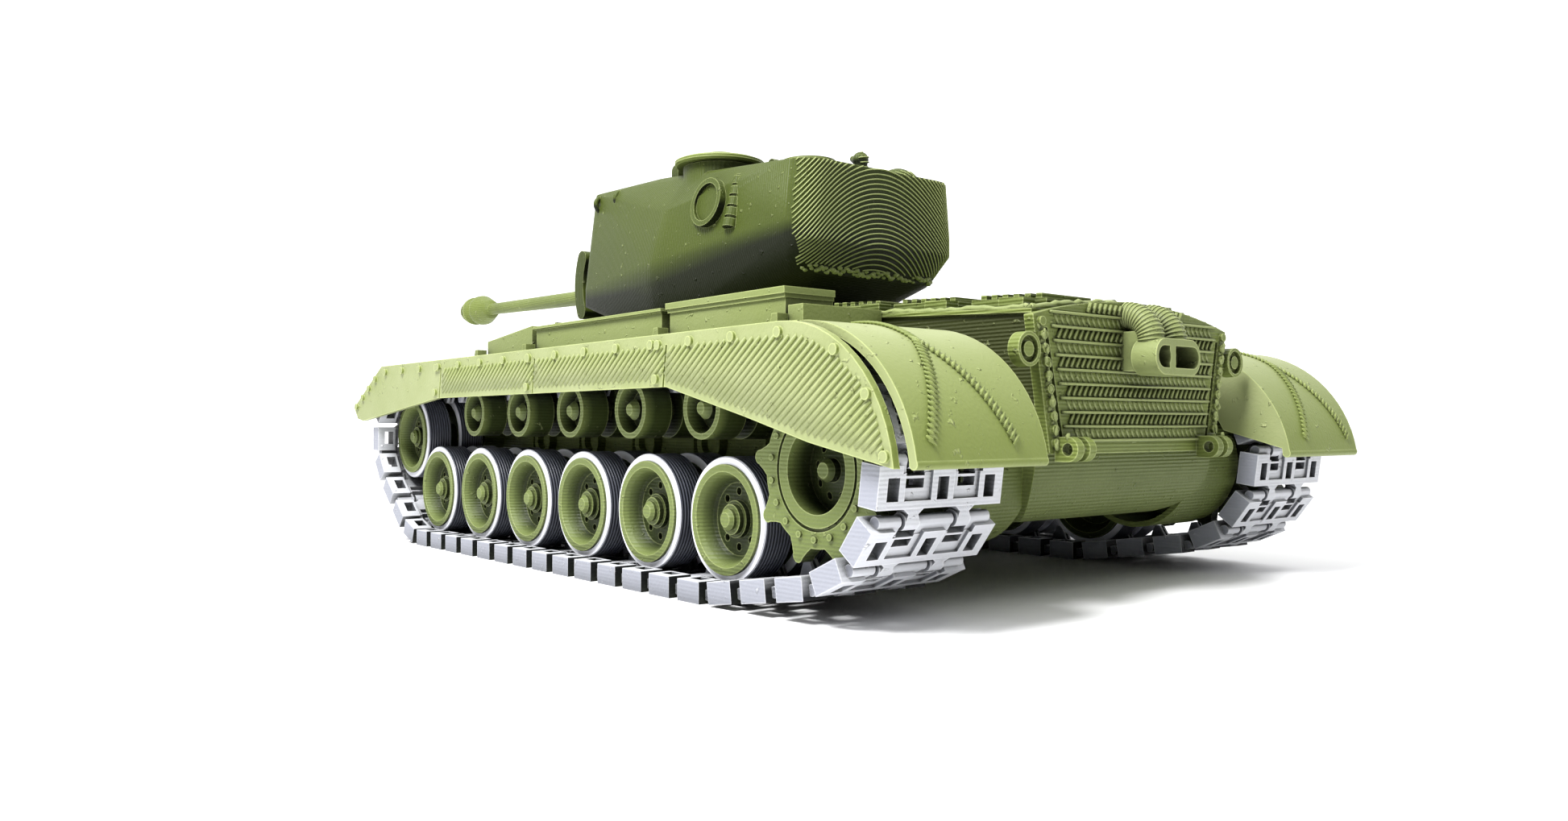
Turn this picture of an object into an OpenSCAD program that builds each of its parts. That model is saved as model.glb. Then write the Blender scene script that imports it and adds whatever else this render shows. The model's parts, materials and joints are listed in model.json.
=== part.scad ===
/* [Overall] */
// Length from the muzzle to the rear fender lip
overall_len = 188; // [186:1:192]
// Ground to the top face of the fenders
fender_top = 29.6; // [29.4:0.1:30.2]
// Half the width over the side skirts, without bolt heads
half_width = 42.7; // [42.6:0.1:43.4]

/* [Running gear] */
// Diameter of a road wheel over its tyre
tyre_d = 14; // [13.8:0.1:14.1]
// Distance between neighbouring road wheels
wheel_pitch = 16; // [15.6:0.1:16.2]
// Road wheels on each side
wheel_count = 6; // [5:1:6]
// Return rollers on each side
roller_count = 5; // [3:1:5]
// Diameter of a return roller
roller_d = 7.2; // [6.8:0.1:7.3]
// Middle plane of the track, from the hull's middle plane
track_x = 33.05; // [33:0.05:33.2]
// Width of a track link
link_w = 16.9; // [16.4:0.1:17]
// Wanted distance between track pins
link_pitch = 5.88; // [5.8:0.02:6.1]
// Teeth on each sprocket ring
teeth = 9; // [8:1:10]
// Radius over the sprocket teeth
tooth_tip_r = 9.8; // [9.4:0.1:9.9]

/* [Hull] */
// Half the width of the hull between the tracks
hull_half_w = 22; // [21.4:0.2:22]
// Half the width of the engine bay
bay_half_w = 17; // [16.6:0.2:17.2]
// Belly height above the ground
belly_z = 8.6; // [8.4:0.1:8.8]
// Height of the fighting compartment roof
deck_z = 33.4; // [33.2:0.1:33.6]
// Wall thickness of the hull shells
hull_wall = 1.2; // [1:0.1:1.4]

/* [Turret] */
// Turret ring centre along the hull
turret_y = 14; // [13:0.5:15]
// Radius of the turret ring spigot
ring_r = 14; // [13:0.5:14.5]
// Height of the gun's trunnion
gun_z = 44.25; // [44:0.05:44.6]
// Elevation of the gun at rest
gun_lift = 1.5; // [0:0.5:3]
// Barrel radius at the mantlet
barrel_r = 1.55; // [1.4:0.05:1.8]
// Radius of the large roof hatch
cupola_r = 6.9; // [6.2:0.1:7.2]
// Radius of the small roof hatch
loader_r = 3.9; // [3.4:0.1:4.1]

/* [Fits] */
// Radial clearance of a wheel on its axle
axle_gap = 0.05; // [0.02:0.01:0.08]
// Radial clearance of the turret spigot in the deck
ring_gap = 0.08; // [0.04:0.01:0.1]

/* [Hidden] */
$fn = 48;
SIDES = ["left", "right"];
hatch_names = ["cupola_hatch", "loader_hatch"];

olive = [0.55, 0.60, 0.33];
dark_olive = [0.40, 0.44, 0.24];
silver = [0.72, 0.73, 0.74];
tyre_grey = [0.62, 0.63, 0.66];
eps = 0.01;

// Places along the hull, with the nose towards -Y
rear_lip_y = overall_len / 2;
muzzle_y = -overall_len / 2;
last_wheel_y = rear_lip_y - 32.9;
first_wheel_y = last_wheel_y - (wheel_count - 1) * wheel_pitch;
sprocket_y = last_wheel_y + 15.7;
sprocket_z = 14.9;
idler_y = first_wheel_y - 11.4;
idler_z = 17.5;
roller_y0 = last_wheel_y - 4.9;
roller_pitch = 15.4;
nose_y = idler_y - 13.2;
plate_y = rear_lip_y - 7;
step_y = last_wheel_y + 0.9;
boxes_end_y = last_wheel_y;

// Track link, with its pins a little above the ground
pin_z = 1;
plate_t = 1.8;
tyre_gap = 0.2;
shoulder = 0.65;
horn_h = 1.9;
barrel_pin_r = 0.62;
hook_r = 0.85;
leg_len = 1.35;

// Heights of the wheels and rollers
tyre_r = tyre_d / 2;
roller_r = roller_d / 2;
wheel_z = plate_t + tyre_gap + tyre_r;
roller_z = 21.4;

// Track path: circles that the pin line wraps, as [y, z, radius]
bend_r = 8.7;
wrap = [
    [first_wheel_y - 1.6, pin_z + bend_r, bend_r],
    [last_wheel_y, wheel_z, wheel_z - pin_z],
    [sprocket_y, sprocket_z, 11.6],
    [idler_y, idler_z, bend_r]
];
wraps = len(wrap);
function wrapped(i) = wrap[(i + wraps) % wraps];
function centre(i) = [wrapped(i)[0], wrapped(i)[1]];
function reach(i) = norm(centre(i + 1) - centre(i));
function heading(i) = atan2(centre(i + 1)[1] - centre(i)[1], centre(i + 1)[0] - centre(i)[0]);
// Direction from a circle's centre to where the path leaves it for the next circle
function leave(i) = heading(i) - acos((wrapped(i)[2] - wrapped(i + 1)[2]) / reach(i));
function turn(i) = (leave(i) - leave(i - 1) + 720) % 360;
function arc_len(i) = wrapped(i)[2] * turn(i) * PI / 180;
function line_len(i) = sqrt(pow(reach(i), 2) - pow(wrapped(i)[2] - wrapped(i + 1)[2], 2));
function on_circle(i, a) = centre(i) + wrapped(i)[2] * [cos(a), sin(a)];
function sum(list, i = 0) = i >= len(list) ? 0 : list[i] + sum(list, i + 1);
loop_len = sum([for (i = [0:wraps - 1]) arc_len(i) + line_len(i)]);
link_count = round(loop_len / link_pitch);
// Point at distance s along the path, from where it reaches circle i
function along(s, i = 0) =
    s < arc_len(i) ? on_circle(i, leave(i - 1) + s / wrapped(i)[2] * 180 / PI)
    : s < arc_len(i) + line_len(i)
        ? on_circle(i, leave(i)) + (s - arc_len(i)) * [-sin(leave(i)), cos(leave(i))]
    : along(s - arc_len(i) - line_len(i), i + 1);
link_pins = [for (i = [0:link_count - 1]) along(i * loop_len / link_count)];

// Rubber-tyred wheels: [radius, distance out from the track's middle plane]
half_gap = 0.85;
tyre_w = 3.9;
face = half_gap + tyre_w;
proud = 0.4;
seat_r = tyre_r - 1;
axle_r = 1;
bore_r = axle_r + axle_gap;
roller_axle_r = 0.8;

fender_t = 0.9;
skirt_t = 0.8;
fender_r = 15.8;
fender_in_x = 24.5;
fender_cy = rear_lip_y - fender_r;
skirt_cy = fender_cy - 1.8;
arch_z = fender_top - fender_r;
box_x = 29.4;
box_top = 35.5;
drum_r = 8.6;
drum_end_x = 26.6;
bolt_r = 0.55;
bolt_h = 0.4;

trunnion_y = turret_y - 20;
trunnion_r = 1.2;
shield_in = 10.4;
shield_out = 13.3;
shell_z = 34.9;
cupola_at = [9.8, turret_y + 7.2];
cupola_z = 59.1;
loader_at = [6.3, turret_y + 24.2];
loader_z = 57;
hinge_r = 0.6;
hinge_pin_r = 0.4;
hinge_rise = 0.5;

// Mirrors its children to the right-hand side when asked
module on_side(side) {
    if (side == "left") children();
    else mirror([1, 0, 0]) children();
}

// Extrudes a shape drawn in (y, z) along X between two planes
module along_x(x0, x1) {
    translate([x0, 0, 0]) rotate([90, 0, 90]) linear_extrude(x1 - x0) children();
}

// Extrudes a shape drawn in (x, z) along Y between two planes
module along_y(y0, y1) {
    translate([0, y1, 0]) rotate([90, 0, 0]) linear_extrude(y1 - y0) children();
}

// Cylinder along +X that starts at a point
module rod_x(at, r, h) {
    translate(at) rotate([0, 90, 0]) cylinder(r = r, h = h);
}

// Cylinder along +Y that starts at a point
module rod_y(at, r, h) {
    translate(at) rotate([-90, 0, 0]) cylinder(r = r, h = h);
}

// Turns a shape drawn in (radius, distance) about the X axis through a point
module turned_x(at) {
    translate(at) rotate([0, 90, 0]) rotate_extrude() children();
}

// ---------- running gear ----------

function mirrored(points) = [for (i = [len(points) - 1:-1:0]) [points[i][0], -points[i][1]]];

// Rim, web and dished face of one half of a dual wheel, from the outside in
function rim_half(r) = [
    [2.1, 3], [r - 2.9, 3], [r - 2.6, 3.4], [r - 2.1, 4.5], [r - 1.7, face + proud],
    [r - 0.9, face + proud], [r - 0.85, face + proud - 0.1], [r - 0.85, face], [r - 1, face],
    [r - 1, half_gap], [r - 1.7, half_gap], [r - 1.7, 2.2], [2.4, 2.2]
];

module dual_wheel(at) {
    hub = [[0, 5], [0.8, 5], [1.2, 4.6], [1.2, 4.2], [1.7, 4.2], [1.7, 3.6], [2.1, 3.6]];
    bore = [[2.1, -5], [bore_r, -5], [bore_r, 4.2], [0, 4.2]];
    holes = 8;
    difference() {
        turned_x(at) polygon(concat(hub, rim_half(tyre_r), mirrored(rim_half(tyre_r)), bore));
        for (i = [0:holes - 1])
            translate(at)
                rotate([i * 360 / holes, 0, 0])
                    rod_x([2, 0, 3.1], 0.42, 1.2);
    }
}

module dual_tyre(at) {
    crown = [[seat_r, 0], [tyre_r - 0.12, 0], [tyre_r, 0.12], [tyre_r, tyre_w - 0.12],
             [tyre_r - 0.12, tyre_w], [seat_r, tyre_w]];
    for (inner = [-face, half_gap])
        turned_x(at + [inner, 0, 0]) polygon(crown);
}

module road_wheel(side, i) {
    color(olive)
        on_side(side) dual_wheel([track_x, first_wheel_y + (i - 1) * wheel_pitch, wheel_z]);
}

module road_tyre(side, i) {
    color(tyre_grey)
        on_side(side) dual_tyre([track_x, first_wheel_y + (i - 1) * wheel_pitch, wheel_z]);
}

module idler_wheel(side) {
    color(olive) on_side(side) dual_wheel([track_x, idler_y, idler_z]);
}

module idler_tyre(side) {
    color(tyre_grey) on_side(side) dual_tyre([track_x, idler_y, idler_z]);
}

function roller_y(i) = roller_y0 - (roller_count - i) * roller_pitch;

module return_roller(side, i) {
    half = [[1.3, 2.9], [roller_r - 1.2, 2.9], [roller_r - 0.7, face], [roller_r, face],
            [roller_r, half_gap], [1.5, half_gap]];
    hub = [[0, face + 0.1], [0.7, face + 0.1], [1.3, 4.1]];
    inner_end = [[roller_axle_r + axle_gap, -face], [roller_axle_r + axle_gap, 4], [0, 4]];
    back = [[1.5, -half_gap], [roller_r, -half_gap], [roller_r, -face]];
    color(olive)
        on_side(side)
            turned_x([track_x, roller_y(i), roller_z]) polygon(concat(hub, half, back, inner_end));
}

// One toothed ring of the sprocket, as a flat shape
module tooth_ring() {
    root_r = tooth_tip_r - 2;
    tip_w = 0.75;
    circle(r = root_r);
    for (i = [0:teeth - 1])
        rotate(i * 360 / teeth + 12.5) {
            polygon([[root_r - 0.6, -2], [root_r + 0.4, -1.25], [tooth_tip_r - tip_w, -tip_w],
                     [tooth_tip_r - tip_w, tip_w], [root_r + 0.4, 1.25], [root_r - 0.6, 2]]);
            translate([tooth_tip_r - tip_w, 0]) circle(r = tip_w);
        }
}

module drive_sprocket(side) {
    ring_in = 3.75;
    ring_t = 1.6;
    shaft_in = -13;
    bolts = 9;
    rivets = 18;
    at = [track_x, sprocket_y, sprocket_z];
    hub_r = 5.2;
    ring_out = ring_in + ring_t;
    hub = [[0, 4.4], [0.8, 4.4], [1.2, 3.8], [1.2, 3], [hub_r - 0.8, 2.2], [hub_r - 0.8, ring_out],
           [hub_r, ring_out], [hub_r, -ring_out], [1.5, -ring_out], [1.5, shaft_in], [0, shaft_in]];
    color(olive)
        on_side(side)
            difference() {
                union() {
                    turned_x(at) polygon(hub);
                    translate(at)
                        for (x = [ring_in, -ring_out])
                            along_x(x, x + ring_t)
                                difference() {
                                    tooth_ring();
                                    circle(r = hub_r - 0.4);
                                }
                    translate(at)
                        for (i = [0:rivets - 1])
                            rotate([i * 360 / rivets, 0, 0])
                                rod_x([ring_out - eps, 0, 6.85], 0.35, 0.3);
                }
                translate(at)
                    for (i = [0:bolts - 1])
                        rotate([i * 360 / bolts, 0, 0])
                            rod_x([2, 0, 2.8], 0.4, 1.6);
                turned_x(at + [ring_out - 0.3, 0, 0]) translate([5.75, 0]) square([0.35, 1]);
            }
}

// One link lying flat: X across, Y along the track, Z towards the wheels, pins c apart
module link(c) {
    half = link_w / 2;
    wing = half - 0.8;
    front = -c / 2 + leg_len;
    back = c / 2 - barrel_pin_r;
    wing_back = back - 0.5;
    slot_w = 1.5;
    slot_len = 2.2;
    rim_w = 0.75;
    rim_h = 0.35;
    frame_w = slot_w + 2 * rim_w;
    outer_x = half - 1.9;
    hook_x = 3.5;
    notch_w = 2.4;
    shoulder_w = 3;
    difference() {
        union() {
            translate([-wing, front, rim_h - pin_z])
                cube([2 * wing, wing_back - front, plate_t - rim_h]);
            translate([-wing, front, -pin_z]) cube([2 * wing, rim_w, plate_t]);
            translate([-frame_w / 2, front, -pin_z]) cube([frame_w, back - front, plate_t]);
            for (side = [-1, 1]) {
                translate([side * outer_x - frame_w / 2, front, -pin_z])
                    cube([frame_w, wing_back - front, plate_t]);
                translate([side * (half - shoulder_w / 2) - shoulder_w / 2, front, -pin_z])
                    cube([shoulder_w, c / 2 - 0.35 - front, plate_t + shoulder]);
                translate([side * 6.05 - 1.5, 0, 0]) barrel(c, 3);
                translate([side * hook_x, -c / 2, 0]) hook();
            }
            translate([-2.3, 0, 0]) barrel(c, 4.6);
            guide_horn();
        }
        translate([-slot_w / 2, front + rim_w, -2]) cube([slot_w, slot_len, 2.1]);
        for (side = [-1, 1]) {
            translate([side * outer_x - slot_w / 2, front + rim_w, -2]) cube([slot_w, slot_len, 6]);
            translate([side * hook_x - notch_w / 2, 0.35, -2]) cube([notch_w, 0.9, 4]);
            translate([side * hook_x - notch_w / 2, c / 2 - hook_r - 0.55, -2]) cube([notch_w, 3, 4]);
        }
    }
}

// Pin barrel at the link's back end, joined to the plate
module barrel(c, w) {
    web = 1.1;
    rod_x([0, c / 2, 0], barrel_pin_r, w);
    translate([0, c / 2 - 1.6, -web / 2]) cube([w, 1.6, web]);
}

// Waisted hook at the link's front end that sits between the next link's barrels
module hook() {
    hook_w = 1.9;
    foot = leg_len + 0.1;
    rod_x([-hook_w / 2, 0, 0], hook_r, hook_w);
    translate([0, 0, -hook_r])
        linear_extrude(1.5)
            polygon([[-0.9, 0], [0.9, 0], [0.65, 0.8], [1.5, foot], [-1.5, foot], [-0.65, 0.8]]);
}

module guide_horn() {
    tip = horn_h + pin_z;
    along_x(-0.6, -0.2) guide_side();
    along_x(0.2, 0.6) guide_side();
    along_x(-0.3, 0.3) polygon([[-0.5, 0.7], [0.6, 0.7], [0.3, tip], [-0.2, tip]]);
}

module guide_side() {
    polygon([[-1.5, 0.7], [1.4, 0.7], [0.5, horn_h + pin_z], [-0.3, horn_h + pin_z]]);
}

module track(side) {
    color(silver)
        on_side(side)
            for (i = [0:link_count - 1]) {
                a = link_pins[i];
                b = link_pins[(i + 1) % link_count];
                d = b - a;
                translate([track_x, (a[0] + b[0]) / 2, (a[1] + b[1]) / 2])
                    rotate([atan2(d[1], d[0]), 0, 0])
                        link(norm(d));
            }
}

// Arm with its axle and its stub in the hull side, for each road wheel
module swing_arms() {
    arm_x = hull_half_w;
    arm_t = 3;
    trail = 7.5;
    pivot_z = wheel_z + 3;
    color(dark_olive)
        for (side = SIDES, i = [1:wheel_count])
            on_side(side) {
                wy = first_wheel_y + (i - 1) * wheel_pitch;
                rod_x([arm_x - hull_wall, wy - trail, pivot_z], 1.5, hull_wall + arm_t);
                rod_x([arm_x, wy - trail, pivot_z], 2.3, arm_t);
                rod_x([arm_x, wy, wheel_z], 2.2, arm_t);
                translate([arm_x, wy, wheel_z])
                    rotate([-atan2(pivot_z - wheel_z, trail), 0, 0])
                        translate([0.4, -norm([trail, pivot_z - wheel_z]), -1.5])
                            cube([arm_t - 0.8, norm([trail, pivot_z - wheel_z]), 3]);
                rod_x([arm_x, wy, wheel_z], axle_r, track_x + 4 - arm_x);
            }
}

// ---------- hull ----------

// Side outline of the whole hull, drawn inset by t
module hull_side(t) {
    corner_r = 7;
    polygon([[nose_y + 13.5, belly_z + t], [nose_y + 1.5 + t, 16 + t / 2], [nose_y + t * 1.2, 20],
             [nose_y + 19 + t / 2, deck_z - t], [turret_y + 30, deck_z - t],
             [plate_y - t, deck_z - 2.2 - t], [plate_y - t, belly_z + corner_r],
             [plate_y - corner_r, belly_z + t]]);
    translate([plate_y - corner_r, belly_z + corner_r]) circle(r = corner_r - t);
}

// Cross-section with rounded lower edges, half width w
module hull_section(w, round_r) {
    translate([-w, belly_z + round_r]) square([2 * w, deck_z]);
    translate([-w + round_r, belly_z - 1]) square([2 * (w - round_r), deck_z]);
    for (side = [-1, 1])
        translate([side * (w - round_r), belly_z + round_r]) circle(r = round_r);
}

// Solid block of the hull between two heights, inset by t all round
module hull_block(t, z0, z1) {
    bay_w = bay_half_w - t;
    wide_w = hull_half_w - t;
    intersection() {
        union() {
            intersection() {
                along_x(-bay_w, bay_w) hull_side(t);
                along_y(nose_y - 1, rear_lip_y) hull_section(bay_w, 5.5);
            }
            intersection() {
                along_x(-wide_w, wide_w) hull_side(t);
                translate([-wide_w, nose_y - 1, 0]) cube([2 * wide_w, step_y - t - nose_y + 1, 60]);
            }
        }
        translate([-50, nose_y - 5, z0]) cube([100, 200, z1 - z0]);
    }
}

split_z = 20;

module lower_hull() {
    color(olive)
        difference() {
            union() {
                hull_block(0, belly_z - 1, split_z);
                for (side = SIDES)
                    on_side(side) {
                        rod_x([bay_half_w - hull_wall, sprocket_y, sprocket_z], drum_r,
                              drum_end_x - bay_half_w + hull_wall);
                        rod_x([hull_half_w - hull_wall, idler_y, idler_z], 2.6, 5);
                        rod_x([hull_half_w - eps, idler_y, idler_z], axle_r,
                              track_x + 4 - hull_half_w);
                        bump_stops();
                    }
            }
            translate([0, 0, -eps]) hull_block(hull_wall, belly_z, split_z + 1);
            for (side = SIDES)
                on_side(side) {
                    rod_x([bay_half_w - 3, sprocket_y, sprocket_z], 7.95, drum_end_x - bay_half_w + 1.8);
                    rod_x([drum_end_x - 2, sprocket_y, sprocket_z], 1.5 + axle_gap, 3);
                    for (i = [1:wheel_count])
                        rod_x([hull_half_w - 3, first_wheel_y + (i - 1) * wheel_pitch - 7.5,
                               wheel_z + 3], 1.5, 4);
                }
        }
}

// Bump stops and shock absorber housings along the hull side
module bump_stops() {
    stop_t = 1.4;
    stop_z = wheel_z + 8;
    for (i = [1:wheel_count - 1]) {
        wy = first_wheel_y + (i - 1) * wheel_pitch + 8.2;
        difference() {
            rod_x([hull_half_w - eps, wy, stop_z], 2.6, stop_t);
            rod_x([hull_half_w + 0.3, wy, stop_z], 1.6, stop_t);
        }
        translate([hull_half_w - eps, wy - 8.4, stop_z - 2]) cube([1, 4.4, 3]);
    }
}

module upper_hull() {
    opening_y = turret_y + 31;
    color(olive)
        difference() {
            union() {
                hull_block(0, split_z, deck_z + 1);
                for (side = SIDES, i = [1:roller_count])
                    on_side(side) {
                        rod_x([hull_half_w - eps, roller_y(i), roller_z], 1.5, 4);
                        rod_x([hull_half_w - eps, roller_y(i), roller_z], roller_axle_r,
                              track_x + 3.6 - hull_half_w);
                    }
                translate([0, turret_y, deck_z - 3]) cylinder(r = ring_r + 2.2, h = 3);
            }
            hull_block(hull_wall, split_z - 1, deck_z);
            translate([0, turret_y, deck_z - 5]) cylinder(r = ring_r + ring_gap, h = 10);
            translate([-bay_half_w + 2, opening_y, deck_z - 6])
                cube([2 * bay_half_w - 4, plate_y - opening_y - 3, 10]);
            for (side = SIDES)
                on_side(side)
                    rod_x([bay_half_w - 3, sprocket_y, sprocket_z], drum_r, 14);
        }
}

// Crowned cover over the engine bay, with louvres and lifting handles
module engine_deck() {
    start_y = turret_y + 30;
    run = plate_y - start_y;
    slope = atan2(2.2, run);
    half = bay_half_w + 0.4;
    crown = 1.4;
    edge = 0.5;
    crown_r = (half * half + crown * crown) / (2 * crown);
    color(olive)
        translate([0, start_y, deck_z + 0.02])
            rotate([-slope, 0, 0]) {
                intersection() {
                    along_y(0, run) translate([0, crown + edge - crown_r]) circle(r = crown_r, $fn = 96);
                    translate([-half, 0, 0]) cube([2 * half, run, crown + 1]);
                }
                for (side = [-1, 1], row = [0:2])
                    translate([side * 8.2 - 5.2, 6 + row * 12.6, 0.5]) louvre_panel(10.4, 10.6);
                for (side = [-1, 1], row = [0:3])
                    translate([side * 15.2 - 1, 4.5 + row * 11, 0.3]) cube([2, 3.4, 1.5]);
                rod_y([0, 2, 1.7], 0.9, run - 4);
            }
}

// Raised panel with cross bars
module louvre_panel(w, d) {
    bars = 6;
    cube([w, d, 1.4]);
    for (i = [0:bars - 1])
        translate([0.8, 0.7 + i * (d - 1.2) / bars, 1.3]) cube([w - 1.6, 0.8, 0.7]);
}

// Rear armour plate with bolt strips, lamps and towing lugs
module rear_plate() {
    t = 1.2;
    low_w = 16;
    high_w = 18.7;
    foot_z = 16.4;
    edge_z = deck_z - 2.8;
    peak_z = deck_z - 0.2;
    arc_w = high_w + 1.3;
    groove_t = 0.8;
    cr = (arc_w * arc_w + pow(peak_z - edge_z, 2)) / (2 * (peak_z - edge_z));
    bolts = 10;
    color(olive) {
        difference() {
            intersection() {
                along_y(plate_y, plate_y + t)
                    polygon([[-low_w, foot_z], [low_w, foot_z], [high_w, edge_z], [high_w, 40],
                             [-high_w, 40], [-high_w, edge_z]]);
                along_y(plate_y - 1, plate_y + 2) translate([0, peak_z - cr]) circle(r = cr, $fn = 96);
            }
            for (side = SIDES)
                on_side(side)
                    along_y(plate_y + t - groove_t, plate_y + t + 1)
                        polygon([[low_w - 2.3, foot_z + 1], [low_w - 1.75, foot_z + 1],
                                 [high_w - 1.75, edge_z - 1], [high_w - 2.3, edge_z - 1]]);
        }
        for (side = SIDES)
            on_side(side) {
                for (i = [0:bolts - 1]) {
                    z = foot_z + 1.2 + i * (edge_z - foot_z - 1.6) / (bolts - 1);
                    x = low_w - 1 + (high_w - low_w) * (z - foot_z) / (edge_z - foot_z);
                    rod_y([x, plate_y + t - eps, z], 0.5, 0.45);
                }
                tail_lamp();
                tow_lugs(plate_y + t);
            }
    }
}

module tail_lamp() {
    at = [20, plate_y + 1.8, 27.2];
    depth = 1.4;
    difference() {
        rod_y(at - [0, depth, 0], 1.8, depth);
        rod_y(at - [0, 0.6, 0], 1.4, 1);
    }
    rod_y(at - [0, 1, 0], 0.8, 0.9);
    translate([17, plate_y, 26.4]) cube([2, 1.1, 1.5]);
}

// Pair of plates with a cross hole for a towing pin
module tow_lugs(y) {
    lug_z = 16.9;
    lug_r = 1.3;
    lug_t = 1.1;
    reach_y = 1.6;
    for (x = [12, 14.1])
        difference() {
            union() {
                rod_x([x, y + reach_y, lug_z], lug_r, lug_t);
                translate([x, y - eps, lug_z - lug_r]) cube([lug_t, reach_y, 2 * lug_r]);
            }
            rod_x([x - 1, y + reach_y, lug_z], 0.65, 4);
        }
}

// Two bent pipes that drop into one wide outlet with two ports
module exhaust_muffler() {
    y0 = plate_y + 1.2;
    out_y = rear_lip_y - 0.7;
    out_z = 26.9;
    half_h = 2;
    half_w = 4.4;
    port_r = 1.2;
    bend = 3.1;
    pipe_r = 1.4;
    color(olive) {
        difference() {
            union() {
                translate([-3.4, y0, out_z - 1.5]) cube([6.8, 3, 4.4]);
                along_y(y0 + 2, out_y) {
                    for (side = [-1, 1])
                        translate([side * (half_w - half_h), out_z]) circle(r = half_h);
                    translate([-half_w + half_h, out_z - half_h])
                        square([2 * (half_w - half_h), 2 * half_h]);
                }
            }
            along_y(out_y - 2.7, out_y + 1) {
                translate([half_w - half_h + 0.3, out_z]) circle(r = port_r);
                translate([1.7, out_z - port_r]) square([1, 2 * port_r]);
                translate([-half_w + half_h - 0.5, out_z]) circle(r = port_r);
                translate([-half_w + half_h - 0.5, out_z - port_r]) square([3.5, 2 * port_r]);
            }
        }
        for (x = [-2.2, 2.2])
            translate([x, y0, out_z + half_h - 0.3])
                rotate([0, -90, 0])
                    rotate_extrude(angle = 90) translate([bend, 0]) circle(r = pipe_r);
    }
}

// Outline of the side skirt in (y, z)
module skirt_outline() {
    arc_steps = 12;
    low_z = 15.6;
    low_a = asin((low_z - arch_z) / fender_r);
    polygon(concat(
        [[skirt_cy, fender_top], [nose_y + 11.1, fender_top], [nose_y - 2.6, fender_top - 6.9],
         [nose_y - 0.6, fender_top - 8.9], [nose_y + 2, fender_top - 9.3],
         [nose_y + 35.6, 23.7], [last_wheel_y - 4.8, 23.7], [last_wheel_y + 9.7, 20.3],
         [last_wheel_y + 19.6, 17.8]],
        [for (i = [0:arc_steps])
            let (a = low_a + i * (90 - low_a) / arc_steps)
                [skirt_cy + fender_r * cos(a), arch_z + fender_r * sin(a)]]
    ));
}

// Bolt places along the skirt's top edge and around its rear curve, as [y, z]
skirt_bolts = concat(
    [for (i = [0:14]) [nose_y + 13.5 + i * 7.6, fender_top - 1.1]],
    [for (a = [57, 34, 11])
        [skirt_cy + (fender_r - 0.8) * cos(a), arch_z + (fender_r - 0.8) * sin(a)]],
    [for (i = [0:3]) [nose_y + 8.6 - i * 3.1, fender_top - 2.1 - i * 1.55]]
);
seam_ys = [nose_y + 36.6, last_wheel_y - 36.7, last_wheel_y - 5];

module fender(side) {
    inner_x = half_width - skirt_t;
    color(olive)
        on_side(side) {
            difference() {
                along_x(inner_x, half_width) skirt_outline();
                for (y = seam_ys)
                    translate([half_width - 0.35, y, 27])
                        rotate([-8, 0, 0])
                            translate([0, 0, -3.6]) cube([1, 0.35, 5]);
            }
            for (at = skirt_bolts)
                rod_x([half_width - eps, at[0], at[1]], bolt_r, bolt_h);
            for (y = seam_ys, dz = [-1.2, -5])
                rod_x([half_width - eps, y - 0.9 + dz * 0.14, fender_top + dz], bolt_r, bolt_h);
            translate([hull_half_w + 0.05, nose_y + 11.1, fender_top - fender_t])
                cube([inner_x - hull_half_w - 0.04, fender_cy - nose_y - 11.1, fender_t]);
            translate([bay_half_w + 0.5, step_y + 0.05, fender_top - fender_t])
                cube([hull_half_w - bay_half_w, fender_cy - step_y - 2, fender_t]);
            along_x(fender_in_x, inner_x)
                polygon([[nose_y + 11.2, fender_top], [nose_y - 2.6, fender_top - 6.9],
                         [nose_y - 2.2, fender_top - 7.8], [nose_y + 11.2, fender_top - fender_t]]);
            rear_arch(inner_x);
        }
}

// Curved sheet behind the track, with its inner cheek and rolled lip
module rear_arch(outer_x) {
    lip_z = 16;
    lip_a = asin((lip_z - arch_z) / fender_r);
    cheek_x = fender_in_x - 0.9;
    along_x(cheek_x, outer_x - 0.3)
        intersection() {
            translate([fender_cy, arch_z])
                difference() {
                    circle(r = fender_r, $fn = 96);
                    circle(r = fender_r - fender_t, $fn = 96);
                }
            translate([fender_cy - 0.1, lip_z]) square([30, 30]);
        }
    rod_x([cheek_x, fender_cy + (fender_r - 0.45) * cos(lip_a), lip_z], 0.5, outer_x - 0.3 - cheek_x);
    along_x(cheek_x, fender_in_x - 0.1)
        difference() {
            intersection() {
                translate([fender_cy, arch_z]) circle(r = fender_r - 0.2, $fn = 96);
                polygon([[fender_cy - 6, 31], [fender_cy - 6, 22.5], [rear_lip_y + 1, lip_z],
                         [rear_lip_y + 1, 31]]);
                translate([fender_cy - 6, 0]) square([40, fender_top - fender_t + 0.1]);
            }
            translate([sprocket_y, sprocket_z]) circle(r = drum_r + 0.6);
        }
}

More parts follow.
